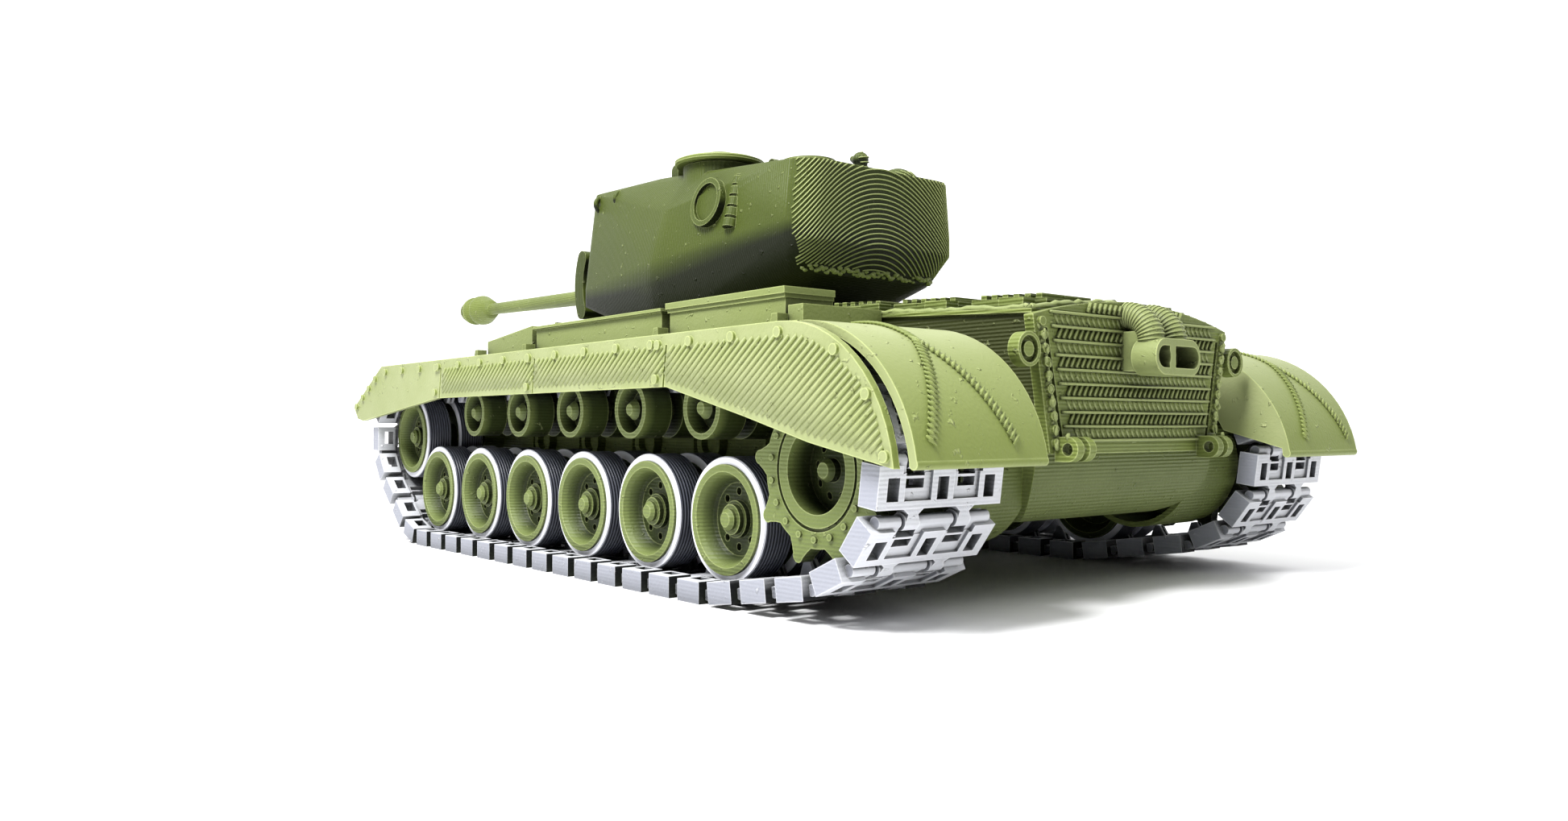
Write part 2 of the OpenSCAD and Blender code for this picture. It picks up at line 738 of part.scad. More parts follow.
// Boxes along both fenders, from the front wedge to the rear one
module stowage_boxes() {
    in_x = hull_half_w + 0.05;
    wedge_y = nose_y + 24.6;
    first_y = [nose_y + 42.6, last_wheel_y - 26];
    second_y = [last_wheel_y - 24, boxes_end_y];
    base = fender_top + 0.01;
    lid = 1.3;
    color(dark_olive)
        for (side = SIDES)
            on_side(side) {
                along_x(in_x, box_x)
                    polygon([[wedge_y, base], [first_y[0] - 1.6, base],
                             [first_y[0] - 1.6, box_top - 0.2], [wedge_y, box_top - 1.8]]);
                stowage_box(in_x, first_y, base, box_top - 0.5, 0.6);
                translate([in_x, first_y[0] + 6, box_top - 0.5]) cube([box_x - in_x, 0.5, 0.3]);
                stowage_box(in_x, second_y, base, box_top, lid);
                translate([bay_half_w + 0.5, boxes_end_y + 1, base])
                    cube([box_x - bay_half_w - 0.1, 2.6, 3.6]);
                for (y = [wedge_y - 1.2, first_y[0] - 1.4, second_y[0] - 1.6, second_y[1] - 0.8])
                    box_gusset(y, base);
            }
}

// Plain box with a lid that stands out all round in steps
module stowage_box(x0, ys, z0, z1, lid) {
    translate([x0, ys[0], z0]) cube([box_x - x0, ys[1] - ys[0], z1 - lid - z0]);
    translate([x0, ys[0] - 0.2, z1 - lid]) cube([box_x - x0 + 0.25, ys[1] - ys[0] + 0.4, lid * 0.4]);
    translate([x0, ys[0] - 0.4, z1 - lid * 0.62])
        cube([box_x - x0 + 0.5, ys[1] - ys[0] + 0.8, lid * 0.62]);
}

// Ribbed bracket on the fender, in front of the gap between two boxes
module box_gusset(y, z) {
    along_x(box_x + 0.55, box_x + 2.2)
        difference() {
            translate([y - 1.4, z]) square([3.4, 2.6]);
            translate([y - 1.4, z + 2.8]) circle(r = 2.4);
        }
}

// ---------- inside the hull ----------

// Gear motor with a flattened can, its gearbox and a bore for the sprocket shaft
module drive_motors() {
    can_len = 15;
    gear_len = 8.6;
    can_x = 1.4;
    color(silver)
        for (side = SIDES)
            on_side(side)
                difference() {
                    union() {
                        intersection() {
                            rod_x([can_x, sprocket_y, sprocket_z], 6, can_len);
                            translate([can_x, sprocket_y - 6, sprocket_z - 4.95])
                                cube([can_len, 12, 9.9]);
                        }
                        translate([can_x + can_len - eps, sprocket_y - 6, sprocket_z - 4.95])
                            cube([gear_len, 12, 9.9]);
                    }
                    rod_x([track_x - 14.5, sprocket_y, sprocket_z], 1.5 + axle_gap, 20);
                }
}

module battery_pack() {
    cell = [22, 36, 7.6];
    at = [-cell[0] / 2, turret_y + 12, belly_z + hull_wall + 0.02];
    color("dimgray") {
        translate(at) cube(cell);
        translate(at + [3, -1.6, 2]) cube([6, 1.7, 3]);
    }
}

module control_board() {
    board = [24, 30, 1.6];
    at = [-board[0] / 2, nose_y + 22, belly_z + hull_wall + 2.52];
    color("darkgreen") {
        translate(at) cube(board);
        for (x = [2, 20], y = [2, 26])
            translate(at + [x, y, -2.5]) cube([2, 2, 2.6]);
        translate(at + [7, 8, 1.5]) cube([10, 10, 1.2]);
        translate(at + [2, 22, 1.5]) cube([8, 5, 4]);
        translate(at + [14, 21, 1.5]) cube([7, 7, 2]);
    }
}

// ---------- turret ----------

// Plan disc of the cast body
module slab(at, r, h = 0.5) {
    translate(at) cylinder(r = r, h = h, $fn = 40);
}

// Cast turret body, inset by t
module cast_body(t) {
    ty = turret_y;
    hull() {
        slab([0, ty, shell_z], 16.8 - t);
        for (side = [-1, 1]) {
            slab([side * 11, ty - 23, 40 + t], 4.5 - t, 3);
            slab([side * 8.3, ty + 2, 41], 10.6 - t, 3.5);
            slab([side * 7.6, ty + 4, 50], 10.2 - t, 2);
            slab([side * 10.3, ty - 21.2, 58.5 - t], 4.2 - t);
            slab([side * 7.5, ty - 4, 58.1 - t], 6.5 - t);
            slab([side * 9.6, ty + 26.8, 40.3 + t], 4 - t);
            slab([side * 11.8, ty + 29.1, 44.8], 4.1 - t, 2.5);
            slab([side * 11.1, ty + 29.4, 54.8 - t], 3.8 - t, 0.8);
        }
        slab([0, ty + 24, 55.9 - t], 5 - t);
    }
}

module turret_shell() {
    neck_z = 50;
    lid_gap = 0.15;
    window = [8, 14, 9.9];
    color(olive)
        difference() {
            union() {
                cast_body(0);
                translate([cupola_at[0], cupola_at[1], neck_z])
                    cylinder(r = cupola_r - 1.3, h = cupola_z - lid_gap - neck_z);
                translate([loader_at[0], loader_at[1], neck_z])
                    cylinder(r = loader_r - 0.5, h = loader_z - lid_gap - neck_z);
                hinge_lugs(cupola_at, cupola_r, cupola_z + hinge_rise, 2);
                hinge_lugs(loader_at, loader_r, loader_z + hinge_rise, 2.2);
                roof_fittings();
                side_fittings();
            }
            difference() {
                translate([0, 0, -eps]) cast_body(hull_wall);
                for (at = [[cupola_at, cupola_r], [loader_at, loader_r]])
                    translate([at[0][0], at[0][1], 54]) cylinder(r = at[1] - 0.4, h = 10);
            }
            translate([0, turret_y, shell_z - 1]) cylinder(r = 15.2, h = 1.5);
            translate([-window[0] / 2, trunnion_y - window[1], gun_z - 4.3]) cube(window);
            hinge_bores(cupola_at, cupola_r, cupola_z + hinge_rise);
            hinge_bores(loader_at, loader_r, loader_z + hinge_rise);
            translate([loader_at[0] - 1.9, hinge_y(loader_at, loader_r) - 0.9, loader_z - 0.25])
                cube([3.8, 2.2, 3]);
            translate([loader_at[0], loader_at[1], loader_z - lid_gap])
                cylinder(r = loader_r + 0.3, h = 3);
        }
}

// Distance from a hatch's middle, towards the nose, to its hinge line
function hinge_y(at, r) = at[1] - r - 1;

// Two ears that carry a hatch's hinge, down to the roof
module hinge_lugs(at, r, z, drop) {
    lug_r = 0.9;
    lug_t = 1.05;
    for (x = [-3, 3 - lug_t]) {
        rod_x([at[0] + x, hinge_y(at, r), z], lug_r, lug_t);
        translate([at[0] + x, hinge_y(at, r) - lug_r, z - drop]) cube([lug_t, 2 * lug_r, drop]);
    }
}

module hinge_bores(at, r, z) {
    rod_x([at[0] - 2.9, hinge_y(at, r), z], hinge_pin_r + axle_gap, 5.8);
}

// Lid with a dished edge, a tab and a barrel with two stub pins; its underside is at z
module hatch(at, r, z, top) {
    tab_w = 3.6;
    pin_len = 5.6;
    hinge = [at[0], hinge_y(at, r), z + hinge_rise];
    translate([at[0], at[1], z]) rotate_extrude() polygon(top);
    translate([at[0] - tab_w / 2, at[1] - r - 0.8, z + 0.1]) cube([tab_w, 1.9, 0.7]);
    rod_x(hinge - [tab_w / 2, 0, 0], hinge_r, tab_w);
    rod_x(hinge - [pin_len / 2, 0, 0], hinge_pin_r, pin_len);
}

module cupola_hatch() {
    r = cupola_r;
    color(olive)
        hatch(cupola_at, r, cupola_z,
              [[0, 0], [r - 0.3, 0], [r, 0.3], [r, 0.7], [r - 0.8, 1], [2.6, 1.5], [2.4, 2], [0, 2]]);
}

module loader_hatch() {
    r = loader_r;
    color(olive)
        hatch(loader_at, r, loader_z, [[0, 0], [r - 0.2, 0], [r, 0.2], [r, 0.5], [1.6, 1], [0, 1]]);
}

// Post with its folded arm, ventilator dome and lifting eyes on the roof
module roof_fittings() {
    post = [1.8, turret_y + 30.3, 52.5];
    dome_r = 3.4;
    eye_r = 1.1;
    translate(post) cylinder(r = 1, h = 5.4);
    translate(post + [0, 0, 4.8]) sphere(r = 1.15);
    translate(post + [0, 0.2, 3.7]) rotate([62, 0, -25]) cylinder(r = 0.45, h = 4.6);
    translate([-8.7, turret_y + 27.2, 54.7])
        difference() {
            sphere(r = dome_r);
            translate([-5, -5, -10]) cube([10, 10, 9]);
        }
    for (side = [-1, 1], y = [turret_y - 21, turret_y - 14.6])
        translate([side * 14.2, y, 57.1])
            rotate([0, side * 50, 0])
                rotate([90, 0, 0])
                    rotate_extrude() translate([eye_r, 0]) circle(r = 0.45);
}

// Round port with its ribbed hinge post, on the left side
module side_fittings() {
    port = [15.7, turret_y + 14.3, 51.5];
    knuckles = 5;
    knuckle_h = 1.2;
    pitch_h = 1.6;
    translate(port)
        rotate([0, 80, 0])
            difference() {
                cylinder(r = 3.6, h = 1.9);
                translate([0, 0, 1.3]) cylinder(r = 2.8, h = 1);
            }
    translate([16.9, turret_y + 19.4, 47.4])
        rotate([0, -15, 0]) {
            cylinder(r = 0.8, h = knuckles * pitch_h);
            for (i = [0:knuckles - 1])
                translate([0, 0, i * pitch_h]) cylinder(r = 1.1, h = knuckle_h);
        }
}

// Bearing plate with the ring spigot and the two trunnion brackets
module turret_base() {
    bracket_x = 5.35;
    bracket_w = 1.5;
    eye_r = 2.6;
    foot_y = turret_y - 13.1;
    plate_z = deck_z + 0.25;
    color(dark_olive) {
        difference() {
            union() {
                translate([0, turret_y, plate_z]) cylinder(r = 16.8, h = shell_z - plate_z);
                translate([0, turret_y, deck_z - 3.2]) cylinder(r = ring_r, h = 3.6);
            }
            translate([0, turret_y, deck_z - 4]) cylinder(r = ring_r - 2, h = 8);
        }
        for (side = SIDES)
            on_side(side)
                difference() {
                    union() {
                        rod_x([bracket_x, trunnion_y, gun_z], eye_r, bracket_w);
                        along_x(bracket_x, bracket_x + bracket_w)
                            polygon([[foot_y, shell_z - eps], [foot_y + 5, shell_z - eps],
                                     [foot_y + 5, shell_z + 3], [trunnion_y + 2, gun_z + 1.6],
                                     [trunnion_y - 1.9, gun_z - 1.7], [foot_y, shell_z + 0.8]]);
                    }
                    rod_x([bracket_x - 1, trunnion_y, gun_z], trunnion_r + axle_gap, 4);
                }
    }
}

// Puts its children, drawn about the trunnion with the gun level, in place
module on_trunnion() {
    translate([0, trunnion_y, gun_z]) rotate([-gun_lift, 0, 0]) children();
}

// Curved shield in front of the turret's nose, with an arm back to its trunnion
module gun_mantlet() {
    spread = 23;
    half = 12.6;
    mid_r = (shield_in + shield_out) / 2;
    end_r = (shield_out - shield_in) / 2;
    far = 30;
    arm = [6.8, shield_in + 0.5, 4.8];
    color(olive)
        on_trunnion()
            difference() {
                union() {
                    intersection() {
                        difference() {
                            rod_x([-half, 0, 0], shield_out, 2 * half);
                            rod_x([-half - 1, 0, 0], shield_in, 2 * half + 2);
                        }
                        along_x(-half, half)
                            polygon([[0, 0], [-far * cos(spread), far * sin(spread)],
                                     [-far * cos(spread), -far * sin(spread)]]);
                    }
                    for (a = [-spread, spread])
                        rod_x([-half, -mid_r * cos(a), mid_r * sin(a)], end_r, 2 * half);
                    translate([-arm[0] / 2, -arm[1], -arm[2] / 2]) cube(arm);
                    rod_x([-6.8, 0, 0], trunnion_r, 13.6);
                    rod_y([0, -shield_out - 2.2, 0], 4, 4);
                    rod_y([0, -shield_out - 3.6, 0], 2.7, 4);
                }
                rod_y([0, -shield_out - 5, 0], barrel_r, 5);
            }
}

// Tapered tube with a double-baffle brake at the muzzle
module gun_barrel() {
    tip_r = 2.1;
    reach_y = (trunnion_y - muzzle_y - tip_r * sin(gun_lift)) / cos(gun_lift);
    len = reach_y - shield_out;
    brake_r = 1.25;
    bore = 0.9;
    profile = [[bore, 0], [tip_r, 0], [2.3, 0.5], [3.1, 3.2], [3.2, 4], [2.5, 4.6], [2.2, 5.4],
               [2.5, 6.2], [3.35, 7.4], [3.35, 8.4], [2.7, 10.4], [2, 12.6], [brake_r, 13.2],
               [barrel_r, len - 6], [barrel_r, len], [0, len], [0, 14], [bore, 14]];
    ports = [2.2, 7];
    color(olive)
        on_trunnion()
            translate([0, -reach_y, 0])
                difference() {
                    rotate([-90, 0, 0]) rotate_extrude() polygon(profile);
                    for (y = ports)
                        translate([-5, y - 0.7, -1.1]) cube([10, 1.4, 2.2]);
                }
}

lower_hull();
upper_hull();
engine_deck();
rear_plate();
stowage_boxes();
exhaust_muffler();
swing_arms();
drive_motors();
battery_pack();
control_board();
turret_shell();
turret_base();
gun_mantlet();
gun_barrel();
cupola_hatch();
loader_hatch();
for (side = SIDES) {
    fender(side);
    track(side);
    drive_sprocket(side);
    idler_wheel(side);
    idler_tyre(side);
    for (i = [1:wheel_count]) {
        road_wheel(side, i);
        road_tyre(side, i);
    }
    for (i = [1:roller_count])
        return_roller(side, i);
}
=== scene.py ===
import json
import math
import random

import bpy
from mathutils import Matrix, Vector
from mathutils.bvhtree import BVHTree


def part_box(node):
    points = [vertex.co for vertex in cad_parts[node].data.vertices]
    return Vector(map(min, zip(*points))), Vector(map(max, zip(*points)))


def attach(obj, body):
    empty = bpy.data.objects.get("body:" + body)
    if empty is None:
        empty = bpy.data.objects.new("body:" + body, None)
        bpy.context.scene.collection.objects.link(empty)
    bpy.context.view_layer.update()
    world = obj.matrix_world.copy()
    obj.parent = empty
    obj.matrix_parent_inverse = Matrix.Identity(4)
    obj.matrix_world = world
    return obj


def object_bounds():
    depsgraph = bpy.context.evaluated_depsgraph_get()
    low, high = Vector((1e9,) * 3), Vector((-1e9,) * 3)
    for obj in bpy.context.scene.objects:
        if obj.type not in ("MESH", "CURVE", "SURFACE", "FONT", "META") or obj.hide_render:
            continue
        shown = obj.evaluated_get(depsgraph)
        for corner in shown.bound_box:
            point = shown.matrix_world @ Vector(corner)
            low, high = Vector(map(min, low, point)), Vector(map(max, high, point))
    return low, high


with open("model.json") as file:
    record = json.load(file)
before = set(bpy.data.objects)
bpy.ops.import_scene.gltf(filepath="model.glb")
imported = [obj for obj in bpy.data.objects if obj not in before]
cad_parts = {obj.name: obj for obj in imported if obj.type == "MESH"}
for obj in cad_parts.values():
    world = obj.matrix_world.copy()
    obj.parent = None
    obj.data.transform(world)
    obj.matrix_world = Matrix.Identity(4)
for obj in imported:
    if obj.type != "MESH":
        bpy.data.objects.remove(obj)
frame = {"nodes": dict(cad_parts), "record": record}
cad_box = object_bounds()
MM = 0.001
low, high = (Vector(corner) for corner in cad_box)
size = high - low
centre = (low + high) / 2


# ---------- camera, floor and light ----------

def set_camera():
    """A camera low behind the left rear corner, a little above the top of the tracks."""
    data = bpy.data.cameras.new("camera")
    data.sensor_width = 36
    data.lens = 25.9
    data.clip_start = 1 * MM
    camera = bpy.data.objects.new("camera", data)
    bpy.context.scene.collection.objects.link(camera)
    yaw, tilt = math.radians(50.77), math.radians(0.81)
    level = math.cos(tilt)
    forward = Vector((-math.cos(yaw) * level, -math.sin(yaw) * level, math.sin(tilt)))
    camera.location = Vector((111.7, 161.65, 19.3)) * MM
    camera.rotation_euler = forward.to_track_quat("-Z", "Y").to_euler()
    bpy.context.scene.camera = camera


def area_light(name, place, aim, width, watts):
    """A round soft light that looks at a point."""
    data = bpy.data.lights.new(name, "AREA")
    data.shape = "DISK"
    data.size = width
    data.energy = watts
    light = bpy.data.objects.new(name, data)
    bpy.context.scene.collection.objects.link(light)
    light.location = place
    light.rotation_euler = (Vector(aim) - Vector(place)).to_track_quat("-Z", "Y").to_euler()


def set_light():
    """A white backdrop behind the model, a soft box above it and a dim room in front."""
    scene = bpy.context.scene
    scene.view_settings.view_transform = "Standard"
    world = bpy.data.worlds.new("studio")
    scene.world = world
    world.use_nodes = True
    nodes, links = world.node_tree.nodes, world.node_tree.links
    background = nodes["Background"]
    background.inputs["Color"].default_value = (1, 1, 1, 1)
    coordinates = nodes.new("ShaderNodeTexCoord")
    towards = nodes.new("ShaderNodeVectorMath")
    towards.operation = "DOT_PRODUCT"
    towards.inputs[1].default_value = Vector((-0.45, -0.55, 0.7)).normalized()
    links.new(coordinates.outputs["Generated"], towards.inputs[0])
    strength = nodes.new("ShaderNodeMapRange")
    strength.inputs["From Min"].default_value = 0.0
    strength.inputs["From Max"].default_value = 0.5
    strength.inputs["To Min"].default_value = 0.16
    strength.inputs["To Max"].default_value = 1.6
    links.new(towards.outputs["Value"], strength.inputs["Value"])
    links.new(strength.outputs["Result"], background.inputs["Strength"])
    reach = size.y
    area_light("key", centre + Vector((1.0, 0.45, 1.35)) * reach, centre, 0.7 * reach, 2.2)


def set_floor():
    """A plain pale floor that reaches far past the view."""
    width = 40 * size.y
    mesh = bpy.data.meshes.new("floor")
    mesh.from_pydata([(-width, -width, low.z), (width, -width, low.z), (width, width, low.z),
                      (-width, width, low.z)], [], [(0, 1, 2, 3)])
    floor = bpy.data.objects.new("floor", mesh)
    bpy.context.scene.collection.objects.link(floor)
    material = bpy.data.materials.new("floor")
    material.use_nodes = True
    shader = material.node_tree.nodes["Principled BSDF"]
    shader.inputs["Base Color"].default_value = (0.93, 0.93, 0.94, 1)
    shader.inputs["Roughness"].default_value = 0.6
    mesh.materials.append(material)


# ---------- materials ----------

class Nodes:
    """Short calls that add and join shader nodes of one material."""

    def __init__(self, name):
        self.material = bpy.data.materials.new(name)
        self.material.use_nodes = True
        self.tree = self.material.node_tree
        self.shader = self.tree.nodes["Principled BSDF"]

    def add(self, kind, **settings):
        node = self.tree.nodes.new(kind)
        for key, value in settings.items():
            setattr(node, key, value)
        return node

    def feed(self, socket, value):
        if isinstance(value, bpy.types.NodeSocket):
            self.tree.links.new(value, socket)
        else:
            socket.default_value = value

    def math(self, operation, a, b=0.0, c=0.0):
        node = self.add("ShaderNodeMath", operation=operation)
        for socket, value in zip(node.inputs, (a, b, c)):
            self.feed(socket, value)
        return node.outputs[0]

    def place(self):
        return self.add("ShaderNodeTexCoord").outputs["Object"]

    def split(self, vector):
        node = self.add("ShaderNodeSeparateXYZ")
        self.feed(node.inputs[0], vector)
        return node.outputs

    def noise(self, scale, detail=3.0, rough=0.5):
        node = self.add("ShaderNodeTexNoise")
        self.feed(node.inputs["Vector"], self.place())
        node.inputs["Scale"].default_value = scale
        node.inputs["Detail"].default_value = detail
        node.inputs["Roughness"].default_value = rough
        return node.outputs["Fac"]

    def along(self, direction):
        node = self.add("ShaderNodeVectorMath", operation="DOT_PRODUCT")
        self.feed(node.inputs[0], self.place())
        node.inputs[1].default_value = Vector(direction).normalized()
        return node.outputs["Value"]

    def lines(self, direction, pitch, wobble=0.0):
        """Rounded ridges, 0 to 1, that repeat every pitch along a direction."""
        phase = self.math("MULTIPLY", self.along(direction), 2 * math.pi / pitch)
        if wobble:
            phase = self.math("ADD", phase, self.math("MULTIPLY", self.noise(600, 2), wobble))
        wave = self.math("SINE", phase)
        return self.math("MULTIPLY_ADD", wave, 0.5, 0.5)

    def mix(self, factor, a, b):
        node = self.add("ShaderNodeMix", data_type="RGBA")
        self.feed(node.inputs["Factor"], factor)
        self.feed(node.inputs[6], a)
        self.feed(node.inputs[7], b)
        return node.outputs[2]

    def ramp(self, value, low_end, high_end):
        node = self.add("ShaderNodeMapRange")
        node.clamp = True
        self.feed(node.inputs["Value"], value)
        node.inputs["From Min"].default_value = low_end
        node.inputs["From Max"].default_value = high_end
        return node.outputs["Result"]

    def edges(self, radius):
        """1 on sharp edges and 0 on flat faces."""
        bevel = self.add("ShaderNodeBevel", samples=4)
        bevel.inputs["Radius"].default_value = radius
        geometry = self.add("ShaderNodeNewGeometry")
        dot = self.add("ShaderNodeVectorMath", operation="DOT_PRODUCT")
        self.feed(dot.inputs[0], bevel.outputs["Normal"])
        self.feed(dot.inputs[1], geometry.outputs["Normal"])
        return self.ramp(dot.outputs["Value"], 0.995, 0.86)

    def facing(self):
        """The X, Y and Z of the face's normal."""
        return self.split(self.add("ShaderNodeTexCoord").outputs["Normal"])

    def facing_side(self):
        """1 on faces that look along X, 0 on the others."""
        return self.ramp(self.math("ABSOLUTE", self.facing()[0]), 0.4, 0.8)

    def facing_down(self):
        """1 on faces that look down, 0 on upright ones."""
        return self.ramp(self.facing()[2], 0.08, -0.2)

    def facing_rear(self):
        """1 on faces that look towards the rear, 0 on flat tops."""
        return self.ramp(self.facing()[1], 0.3, 1.0)

    def facing_ends(self):
        """1 on faces that look along Y, 0 on the others."""
        return self.ramp(self.math("ABSOLUTE", self.facing()[1]), 0.5, 0.9)

    def between(self, axis, start, end):
        """0 at a start distance along an axis and 1 at an end distance, on both sides of 0."""
        return self.ramp(self.math("ABSOLUTE", self.split(self.place())[axis]), start, end)

    def hollows(self, distance):
        """1 deep in a hollow and 0 on open faces."""
        open_sky = self.add("ShaderNodeAmbientOcclusion", samples=4)
        open_sky.inputs["Distance"].default_value = distance
        return self.ramp(open_sky.outputs["AO"], 0.82, 0.25)

    def bump(self, height, depth, normal=None):
        node = self.add("ShaderNodeBump")
        node.inputs["Distance"].default_value = depth
        node.inputs["Strength"].default_value = 1.0
        self.feed(node.inputs["Height"], height)
        if normal is not None:
            self.feed(node.inputs["Normal"], normal)
        return node.outputs["Normal"]


OLIVE = (0.165, 0.205, 0.050, 1)
# OLIVE_LIGHT is the pale of the random specks and of the painted highlights on edges.
OLIVE_LIGHT = (0.50, 0.56, 0.24, 1)
OLIVE_DARK = (0.045, 0.062, 0.013, 1)
# painted light: SKIRT_LIT is a paler copy of the olive that stands in for the light bounced onto the
# skirts and fenders from the floor
SKIRT_LIT = (0.27, 0.30, 0.145, 1)
# painted shade: TURRET_SHADED is a darker copy of the olive that stands in for the shade on the turret
TURRET_SHADED = (0.052, 0.070, 0.008, 1)
# painted shade: WHEEL_SHADED is a near-black copy of the olive for the shade inside the wheel dishes;
# RIM is the lighter olive kept on the outermost rims
WHEEL_SHADED = (0.022, 0.031, 0.007, 1)
RIM = (0.135, 0.170, 0.050, 1)
# painted light: PALE_LIT is a lighter copy of the olive for boxes, muffler, beads and lumps, standing in
# for the light they catch
PALE_LIT = (0.21, 0.245, 0.095, 1)
SILVER = (0.56, 0.57, 0.60, 1)
SHADE = (0.006, 0.008, 0.003, 1)
OUTER_RIM = (36.3 * MM, 37.9 * MM)
GROUND_RUN = (4.2 * MM, 2.8 * MM)


def printed_plastic(name, colour, pale, dark, lines=(), edge=0.75, ends=None, under=0.0,
                    hollow=0.0, rear=None, outer=None, ground_shade=None):
    """Matte extruded plastic: colour that drifts, pale edges that paint a highlight, layer lines and
    small pits.

    ends, rear, outer and ground_shade are colours for faces that look sideways, faces that look to the
    rear, the outermost rims and the ends of links on the ground. ends, rear and ground_shade are
    painted shade on those faces; outer is a lighter colour kept on the rims where the rest of a wheel
    is painted shade. under and hollow are how much painted shade darkens undersides and hollows.
    """
    n = Nodes(name)
    drift = n.ramp(n.noise(70, 4, 0.6), 0.35, 0.7)
    base = n.mix(n.math("MULTIPLY", drift, 0.45), colour, dark)
    # painted shade: faces that look sideways take the darker ends colour
    if ends:
        base = n.mix(n.facing_side(), base, ends)
    # painted shade: faces that look to the rear take the darker rear colour
    if rear:
        base = n.mix(n.facing_rear(), base, rear)
    # the outermost rims take the outer colour, lighter than the painted shade on the rest of a wheel
    if outer:
        base = n.mix(n.between(0, *OUTER_RIM), base, outer)
    specks = n.ramp(n.noise(900, 2, 0.6), 0.66, 0.78)
    base = n.mix(n.math("MULTIPLY", specks, 0.35), base, pale)
    # painted highlight: sharp edges are mixed towards the pale colour, as much as edge says
    base = n.mix(n.math("MULTIPLY", n.edges(0.22 * MM), edge), base, pale)
    normal = n.bump(n.noise(2600, 2), 0.05 * MM)
    normal = n.bump(specks, 0.22 * MM, normal)
    for direction, pitch, depth, tint in lines:
        ridge = n.lines(direction, pitch, 0.5)
        normal = n.bump(ridge, depth, normal)
        base = n.mix(n.math("MULTIPLY", n.math("SUBTRACT", 1.0, ridge), tint), base, dark)
    # painted shade: faces that look down are darkened towards SHADE
    if under:
        base = n.mix(n.math("MULTIPLY", n.facing_down(), under), base, SHADE)
    # painted shade: the end faces of links in the ground run are darkened
    if ground_shade:
        on_ground = n.between(2, *GROUND_RUN)
        base = n.mix(n.math("MULTIPLY", n.facing_ends(), on_ground), base, ground_shade)
    # painted shade: hollows found by ambient occlusion are darkened towards SHADE
    if hollow:
        base = n.mix(n.math("MULTIPLY", n.hollows(4 * MM), hollow), base, SHADE)
    n.feed(n.shader.inputs["Base Color"], base)
    n.feed(n.shader.inputs["Normal"], normal)
    n.shader.inputs["Roughness"].default_value = 0.5
    n.shader.inputs["Specular IOR Level"].default_value = 0.2
    return n.material


def tyre_plastic():
    """White-grey on the faces of a tyre and dark on its tread, with fine rings."""
    n = Nodes("tyre_ring")
    rings = n.lines((1, 0, 0), 0.42 * MM)
    tread = n.mix(n.math("MULTIPLY", rings, 0.5), (0.012, 0.014, 0.020, 1), (0.19, 0.20, 0.25, 1))
    n.feed(n.shader.inputs["Base Color"], n.mix(n.facing_side(), tread, (0.74, 0.75, 0.80, 1)))
    n.feed(n.shader.inputs["Normal"], n.bump(rings, 0.08 * MM))
    n.shader.inputs["Roughness"].default_value = 0.4
    return n.material


layers = ((0, 0, 1), 0.42 * MM)
turret_layers = ((0, 1, 0), 0.4 * MM)
olive = printed_plastic("olive_print", OLIVE, OLIVE_LIGHT, OLIVE_DARK, [(*layers, 0.05 * MM, 0.12)],
                        hollow=0.7)
# painted light and shade: skirts and fenders are a paler, lit copy of the olive, and their faces that
# look to the rear are painted back to the darker olive as shade
lit_skirt_olive = printed_plastic("lit_skirt_print", SKIRT_LIT, OLIVE_LIGHT, OLIVE, rear=OLIVE)
# painted shade: wheels, rollers and sprockets in a near-black copy of the olive, with hollows darkened
# further and the outermost rims left lighter
shaded_wheel_olive = printed_plastic("shaded_wheel_print", WHEEL_SHADED, OLIVE_LIGHT, OLIVE_DARK, [(*layers, 0.03 * MM, 0.1)],
                              0.6, hollow=0.95, outer=RIM)
# painted shade: turret and mantlet in a darker copy of the olive, with undersides darkened almost to
# black and hollows darkened
shaded_turret_olive = printed_plastic("shaded_turret_print", TURRET_SHADED, OLIVE_LIGHT, OLIVE_DARK,
                               [(*turret_layers, 0.04 * MM, 0.3)], 0.5, under=0.95, hollow=0.5)
# painted light: a lighter copy of the olive, with painted shade in its hollows
lit_pale_olive = printed_plastic("lit_pale_print", PALE_LIT, OLIVE_LIGHT, OLIVE, hollow=0.8)
rope_olive = printed_plastic("rope_print", OLIVE, OLIVE_LIGHT, OLIVE_DARK, edge=0.5)
# painted shade: the dark ends colour on hull faces that look sideways stands in for the shade on the
# hull sides behind the fenders and wheels
hull_olive = printed_plastic("hull_print", OLIVE, OLIVE_LIGHT, OLIVE_DARK, [(*layers, 0.05 * MM, 0.12)],
                             ends=(0.040, 0.046, 0.014, 1), hollow=0.7)
shaded = printed_plastic("shaded_print", (0.11, 0.135, 0.04, 1), OLIVE, OLIVE_DARK,
                         [(*layers, 0.06 * MM, 0.2)])
